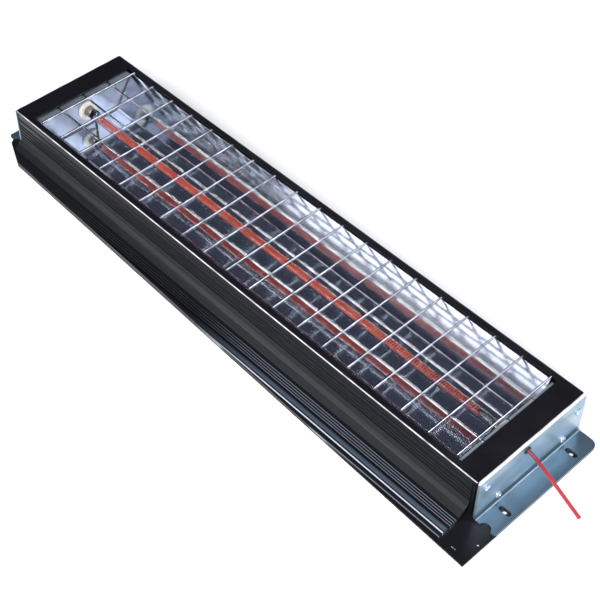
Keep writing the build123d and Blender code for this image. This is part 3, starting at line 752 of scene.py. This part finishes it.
@dataclass
class Screws:
    """Pan-head cross-recess screws that hold each bracket."""

    seats_mm: tuple[tuple[float, float], ...] = ((-63.5, 43.4), (-43.5, 12.5), (49.5, 11.0), (66.0, 39.0))
    head_radius: float = 3.7 * MM
    head_height: float = 2.4 * MM
    shank_radius: float = 1.95 * MM
    shank: float = 8.2 * MM
    plate: float = 0.354

    def head(self) -> bpy.types.Object:
        """Turns one screw about X and cuts its cross recess."""
        r, h = self.head_radius, self.head_height
        profile = [(-self.shank, 0.0), (-self.shank, self.shank_radius * 0.7),
                   (-self.shank + 0.0006, self.shank_radius), (0.0, self.shank_radius), (0.0, r * 0.97),
                   (h * 0.12, r), (h * 0.45, r * 0.985), (h * 0.72, r * 0.86), (h * 0.9, r * 0.6),
                   (h * 0.985, r * 0.3), (h, 0.0)]
        shape = bmesh.new()
        chain = [shape.verts.new((x, y, 0.0)) for x, y in profile]
        edges = [shape.edges.new(pair) for pair in zip(chain, chain[1:])]
        bmesh.ops.spin(shape, geom=chain + edges, axis=(1, 0, 0), cent=(0, 0, 0), angle=math.tau, steps=28)
        bmesh.ops.remove_doubles(shape, verts=shape.verts, dist=1e-6)
        screw = from_bmesh("screw_master", shape, SCREW_PLATE)
        for turn in range(2):
            cutter_shape = bmesh.new()
            bmesh.ops.create_cube(cutter_shape, size=1.0)
            size = (2.6 * MM, 4.4 * MM, 0.85 * MM) if turn == 0 else (2.6 * MM, 0.85 * MM, 4.4 * MM)
            bmesh.ops.scale(cutter_shape, verts=cutter_shape.verts, vec=size)
            bmesh.ops.translate(cutter_shape, verts=cutter_shape.verts, vec=(h + 0.1 * MM, 0, 0))
            cutter = from_bmesh("cutter", cutter_shape, SCREW_PLATE)
            cut = screw.modifiers.new("recess", "BOOLEAN")
            cut.object, cut.operation, cut.solver = cutter, "DIFFERENCE", "EXACT"
            graph = bpy.context.evaluated_depsgraph_get()
            screw.data = bpy.data.meshes.new_from_object(screw.evaluated_get(graph))
            screw.modifiers.clear()
            bpy.data.objects.remove(cutter)
        return screw

    def tree(self) -> bpy.types.NodeTree:
        """One screw on each seat, each stopped at its own turn."""
        tree, given, result = new_growth("screws_on_seats", {
            "Screw": "NodeSocketObject", "Facing": "NodeSocketFloat", "Seed": "NodeSocketInt"})
        screw = put(tree, "GeometryNodeObjectInfo", {"Object": given.outputs["Screw"]}).outputs["Geometry"]
        turn = put(tree, "FunctionNodeRandomValue", {
            2: 0.0, 3: math.pi / 2, "Seed": given.outputs["Seed"]}, data_type="FLOAT").outputs[1]
        angle = put(tree, "ShaderNodeCombineXYZ", {"X": turn, "Z": given.outputs["Facing"]})
        spots = put(tree, "GeometryNodeMeshToPoints", {"Mesh": given.outputs["Geometry"]}).outputs[0]
        placed = put(tree, "GeometryNodeInstanceOnPoints", {
            "Points": spots, "Instance": screw, "Rotation": angle.outputs["Vector"]}).outputs["Instances"]
        real = put(tree, "GeometryNodeRealizeInstances", {"Geometry": placed}).outputs["Geometry"]
        dressed = put(tree, "GeometryNodeSetMaterial", {
            "Geometry": real, "Material": given.outputs["Finish"]})
        tree.links.new(dressed.outputs["Geometry"], result.inputs["Geometry"])
        return tree

    def build(self) -> None:
        """Sets four screws in each bracket."""
        screw, tree = self.head(), self.tree()
        for side in Side:
            seats = [(side.value * self.plate, y * MM, z * MM) for y, z in self.seats_mm]
            facing = 0.0 if side is Side.RIGHT else math.pi
            piece = grow(f"cross_screws_{side.word}", tree, {"Screw": screw, "Facing": facing, "Seed": 11},
                         SCREW_PLATE, Body.HEATER, seats)
            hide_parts(f"bracket_screws_{side.word}")
        bpy.data.objects.remove(screw)


@dataclass
class Brackets:
    """Plated end brackets with their screws."""

    screws: Screws = field(default_factory=Screws)

    def build(self, frame: dict[str, Any]) -> None:
        """Dresses the brackets and sets their screws."""
        dress(frame, ZINC, "end_bracket_left", "end_bracket_right")
        self.screws.build()


@dataclass
class Reflector:
    """The polished trough, its end plates and saddles."""

    floor_half: float = 40.5 * MM
    lip_half: float = 66.2 * MM
    bend: float = 5.0 * MM
    bend_steps: int = 10
    beside_bend: float = 1.0 * MM
    beside_lip: float = 0.3 * MM
    sheet: float = 0.8 * MM

    def section(self, low: Vector, high: Vector) -> list[Vector]:
        """The sheet's upper surface, from flange to flange.

        Args:
            low: Lowest corner of the trough's box.
            high: Highest corner of the trough's box.

        Returns:
            Points in the YZ plane, as (y, z) vectors.
        """
        floor, lip = low.z + self.sheet, high.z
        slope = math.atan2(lip - floor, self.lip_half - self.floor_half)
        start = self.floor_half - self.bend * math.tan(slope / 2)
        rise = Vector((math.cos(slope), math.sin(slope)))
        turns = [slope * i / self.bend_steps for i in range(self.bend_steps + 1)]
        arc = [Vector((start + self.bend * math.sin(turn), floor + self.bend * (1 - math.cos(turn))))
               for turn in turns]
        corner = Vector((self.lip_half, lip))
        half = [Vector((start - self.beside_bend, floor)), *arc, arc[-1] + rise * self.beside_bend,
                corner - rise * self.beside_lip, corner, corner + Vector((self.beside_lip, 0.0)),
                Vector((high.y, lip))]
        return [Vector((-p.x, p.y)) for p in reversed(half)] + half

    def underside(self, upper: list[Vector]) -> list[Vector]:
        """The same line, moved down by the sheet's thickness."""
        under = []
        for i, point in enumerate(upper):
            before = (point - upper[max(i - 1, 0)]).normalized()
            after = (upper[min(i + 1, len(upper) - 1)] - point).normalized()
            run = (before + after).normalized()
            miter = max(run.dot(after if after.length else before), 0.5)
            under.append(point + Vector((run.y, -run.x)) * (self.sheet / miter))
        return under

    def trough(self) -> None:
        """Folds the trough from one sheet."""
        low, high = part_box("reflector_trough")
        upper = self.section(low, high)
        loop = upper + self.underside(upper)[::-1]
        shape = bmesh.new()
        rows = [[shape.verts.new((x, *p)) for p in loop] for x in stations(low.x, high.x)]
        size, top = len(loop), len(upper)
        for row, following in zip(rows, rows[1:]):
            for i in range(size):
                shape.faces.new((row[i], row[(i + 1) % size], following[(i + 1) % size], following[i]))
        for row in (rows[0], rows[-1]):
            for i in range(top - 1):
                shape.faces.new((row[i], row[i + 1], row[size - 2 - i], row[size - 1 - i]))
        piece = from_bmesh("folded_trough", shape, MIRROR)
        for face in piece.data.polygons:
            face.use_smooth = abs(face.normal.x) < 0.5 and abs(face.normal.y) < 0.98
        settle(piece, Body.HEATER)
        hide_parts("reflector_trough")

    def build(self, frame: dict[str, Any]) -> None:
        """Folds the trough and dresses the rest."""
        self.trough()
        dress(frame, END_SHEET, "reflector_end_left", "reflector_end_right")
        dress(frame, ZINC, "reflector_saddles")


@dataclass
class Guard:
    """The welded wire guard."""

    wire_radius: float = 1.4 * MM
    weld_radius: float = 1.6 * MM
    waviness: float = 0.9 * MM
    rungs: int = 19
    rails: int = 3

    def tree(self) -> bpy.types.NodeTree:
        """A row of equal drawn wires, each a little wavy."""
        tree, given, result = new_growth("row_of_wires", {
            "Count": "NodeSocketInt", "First": "NodeSocketVector", "Step": "NodeSocketVector",
            "Half wire": "NodeSocketVector", "Radius": "NodeSocketFloat", "Waviness": "NodeSocketFloat"})
        row = put(tree, "GeometryNodeMeshLine", {
            "Count": given.outputs["Count"], "Start Location": given.outputs["First"],
            "Offset": given.outputs["Step"]}).outputs["Mesh"]
        back = put(tree, "ShaderNodeVectorMath", {0: given.outputs["Half wire"], "Scale": -1.0},
                   operation="SCALE").outputs["Vector"]
        line = put(tree, "GeometryNodeCurvePrimitiveLine", {
            "Start": back, "End": given.outputs["Half wire"]}).outputs["Curve"]
        fine = put(tree, "GeometryNodeResampleCurve", {"Curve": line, "Count": 25}).outputs["Curve"]
        placed = put(tree, "GeometryNodeInstanceOnPoints", {"Points": row, "Instance": fine})
        real = put(tree, "GeometryNodeRealizeInstances", {"Geometry": placed.outputs["Instances"]})
        wander = put(tree, "ShaderNodeTexNoise", {"Scale": 14.0, "Detail": 1.0})
        middle = put(tree, "ShaderNodeVectorMath", {0: wander.outputs["Color"], 1: (0.5, 0.5, 0.5)},
                     operation="SUBTRACT").outputs["Vector"]
        flat = put(tree, "ShaderNodeVectorMath", {0: middle, 1: (1.0, 1.0, 0.25)},
                   operation="MULTIPLY").outputs["Vector"]
        shift = put(tree, "ShaderNodeVectorMath", {0: flat, "Scale": given.outputs["Waviness"]},
                    operation="SCALE").outputs["Vector"]
        bent = put(tree, "GeometryNodeSetPosition", {"Geometry": real.outputs["Geometry"], "Offset": shift})
        ring = put(tree, "GeometryNodeCurvePrimitiveCircle", {
            "Resolution": 12, "Radius": given.outputs["Radius"]}).outputs["Curve"]
        solid = put(tree, "GeometryNodeCurveToMesh", {
            "Curve": bent.outputs["Geometry"], "Profile Curve": ring, "Fill Caps": True}).outputs["Mesh"]
        close_growth(tree, given, result, solid)
        return tree

    def weld_tree(self) -> bpy.types.NodeTree:
        """A small squeezed nugget at every crossing."""
        tree, given, result = new_growth("weld_nuggets", {
            "Radius": "NodeSocketFloat"})
        drop = put(tree, "GeometryNodeMeshIcoSphere", {
            "Radius": given.outputs["Radius"], "Subdivisions": 2}).outputs["Mesh"]
        spots = put(tree, "GeometryNodeMeshToPoints", {"Mesh": given.outputs["Geometry"]}).outputs[0]
        placed = put(tree, "GeometryNodeInstanceOnPoints", {
            "Points": spots, "Instance": drop, "Scale": (1.0, 1.0, 0.6)}).outputs["Instances"]
        close_growth(tree, given, result, placed)
        return tree

    def row(self, name: str, node: str, tree: bpy.types.NodeTree, count: int, axis: int,
            finish: Finish) -> list[Vector]:
        """Lays one row of equal wires in a node's place.

        Args:
            name: The piece's name.
            node: The node that the row stands for.
            tree: The tree that draws a row.
            count: How many wires there are.
            axis: The axis that the row steps along, 0 or 1; the wires lie along the other.
            finish: The wires' finish.

        Returns:
            The middle of each wire.
        """
        low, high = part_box(node)
        first, step, half = (low + high) / 2, Vector((0.0, 0.0, 0.0)), Vector((0.0, 0.0, 0.0))
        first[axis] = low[axis] + self.wire_radius
        step[axis] = (high[axis] - low[axis] - 2 * self.wire_radius) / (count - 1)
        half[1 - axis] = (high[1 - axis] - low[1 - axis]) / 2
        wires = grow(name, tree, {"Count": count, "First": first, "Step": step, "Half wire": half,
                                  "Radius": self.wire_radius, "Waviness": self.waviness},
                     finish, Body.HEATER)
        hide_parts(node)
        return [first + step * i for i in range(count)]

    def build(self) -> None:
        """Lays the rungs over the rails and tacks them."""
        tree = self.tree()
        rungs = self.row("guard_rungs", "guard_cross_wires", tree, self.rungs, 0, WIRE)
        rails = self.row("guard_rails", "guard_long_wires", tree, self.rails, 1, LONG_WIRE)
        crossings = [(rung.x, rail.y, (rung.z + rail.z) / 2) for rung in rungs for rail in rails]
        grow("guard_welds", self.weld_tree(), {"Radius": self.weld_radius}, WIRE, Body.HEATER, crossings)


@dataclass
class Lamp:
    """The quartz lamp: tube, glowing coil, caps, bushes and buttons."""

    coil_radius: float = 3.35 * MM
    coil_wire: float = 0.62 * MM
    turn: float = 3.0 * MM
    wall: float = 0.9 * MM
    tube_steps: int = 72

    def tree(self) -> bpy.types.NodeTree:
        """A wound coil along X."""
        tree, given, result = new_growth("wound_coil", {
            "Turns": "NodeSocketFloat", "Length": "NodeSocketFloat", "Radius": "NodeSocketFloat",
            "Wire": "NodeSocketFloat", "Start": "NodeSocketVector"})
        helix = put(tree, "GeometryNodeCurveSpiral", {
            "Resolution": 14, "Rotations": given.outputs["Turns"], "Start Radius": given.outputs["Radius"],
            "End Radius": given.outputs["Radius"], "Height": given.outputs["Length"]}).outputs["Curve"]
        ring = put(tree, "GeometryNodeCurvePrimitiveCircle", {
            "Resolution": 6, "Radius": given.outputs["Wire"]}).outputs["Curve"]
        wound = put(tree, "GeometryNodeCurveToMesh", {
            "Curve": helix, "Profile Curve": ring, "Fill Caps": True}).outputs["Mesh"]
        laid = put(tree, "GeometryNodeTransform", {
            "Geometry": wound, "Translation": given.outputs["Start"], "Rotation": (0.0, math.pi / 2, 0.0)})
        close_growth(tree, given, result, laid.outputs["Geometry"])
        return tree

    def tube(self) -> None:
        """Draws the clear tube, truly round, with fire-cut ends."""
        low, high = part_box("quartz_tube")
        outer = (high.z - low.z) / 2
        inner = outer - self.wall
        shape = bmesh.new()
        along = stations(low.x, high.x)
        outline = [(x, outer) for x in along] + [(x, inner) for x in reversed(along)]
        chain = [shape.verts.new((x, radius, 0.0)) for x, radius in outline]
        edges = [shape.edges.new(pair) for pair in zip(chain, chain[1:] + chain[:1])]
        bmesh.ops.spin(shape, geom=chain + edges, axis=(1, 0, 0), cent=(0, 0, 0), angle=math.tau,
                        steps=self.tube_steps)
        bmesh.ops.remove_doubles(shape, verts=shape.verts, dist=1e-6)
        bmesh.ops.translate(shape, verts=shape.verts, vec=(0, (low.y + high.y) / 2, (low.z + high.z) / 2))
        piece = from_bmesh("clear_tube", shape, QUARTZ)
        for face in piece.data.polygons:
            face.use_smooth = abs(face.normal.x) < 0.5
        settle(piece, Body.HEATER)
        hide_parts("quartz_tube")

    def build(self, frame: dict[str, Any]) -> None:
        """Winds the coil, draws the tube and dresses the rest of the lamp."""
        low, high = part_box("heating_coil")
        inset = self.coil_wire
        length = high.x - low.x - 2 * inset
        coil = grow("glowing_coil", self.tree(), {
            "Turns": length / self.turn, "Length": length, "Radius": self.coil_radius, "Wire": self.coil_wire,
            "Start": (low.x + inset, 0.0, (low.z + high.z) / 2)}, COIL, Body.HEATER)
        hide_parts("heating_coil")
        self.tube()
        dress(frame, NICKEL, "coil_leads")
        for side in Side:
            dress(frame, NICKEL, f"lamp_button_{side.word}", f"lamp_cap_{side.word}")
            dress(frame, CERAMIC, f"ceramic_bush_{side.word}")
        dress(frame, BLUED, "lamp_clip")


@dataclass
class Contacts:
    """Ceramic holders with sprung contacts."""

    push: float = 3.8 * MM

    def spring(self, frame: dict[str, Any], side: Side) -> None:
        """Gives a spring a mesh of its own."""
        name = f"contact_spring_{side.word}"
        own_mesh(frame["nodes"][name])

    def build(self, frame: dict[str, Any]) -> None:
        """Dresses holders, plungers and springs."""
        for side in Side:
            self.spring(frame, side)
            dress(frame, CERAMIC, f"contact_holder_{side.word}")
            dress(frame, NICKEL, f"contact_plunger_{side.word}", f"contact_spring_{side.word}")


@dataclass
class Wiring:
    """The supply lead, its grommet, and the wires inside."""

    route: tuple[tuple[float, float, float], ...] = (
        (0.352, -0.009, 0.0484), (0.3594, -0.00897, 0.04837), (0.3705, -0.0074, 0.0394),
        (0.387, -0.0053, 0.0256), (0.4035, -0.0042, 0.0134), (0.4187, -0.0034, 0.0026))
    radius: float = 1.9 * MM
    length: float = 0.0819

    def lead(self) -> None:
        """The short stiff lead, from the grommet down to its cut end."""
        data = bpy.data.curves.new("red_lead", "CURVE")
        data.dimensions, data.resolution_u = "3D", 16
        data.bevel_depth, data.bevel_resolution, data.use_fill_caps = self.radius, 6, True
        line = data.splines.new("NURBS")
        line.points.add(len(self.route) - 1)
        for point, place in zip(line.points, self.route):
            point.co = (*place, 1.0)
        line.order_u, line.use_endpoint_u = 3, True
        data.materials.append(SHEATH.material())
        piece = bpy.data.objects.new("red_lead", data)
        bpy.context.scene.collection.objects.link(piece)
        settle(piece, Body.HEATER)
        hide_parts("supply_lead")

    def build(self, frame: dict[str, Any]) -> None:
        """Lays the lead and dresses the inner wiring."""
        self.lead()
        dress(frame, RUBBER, "lead_grommet")
        dress(frame, SHEATH, "inner_lead")
        dress(frame, SLEEVE, "link_wire", "return_wire")
        dress(frame, CERAMIC, "terminal_block")
        dress(frame, BRASS, "terminal_screw")


def main() -> None:
    """Builds the studio and the heater, in order."""
    logging.basicConfig(level=logging.INFO, format="%(name)s %(message)s")
    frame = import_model()
    Studio().build()
    Wiring().build(frame)
    Box().build(frame)
    Brackets().build(frame)
    Reflector().build(frame)
    Guard().build()
    Lamp().build(frame)
    Contacts().build(frame)


if __name__ == "__main__":
    main()
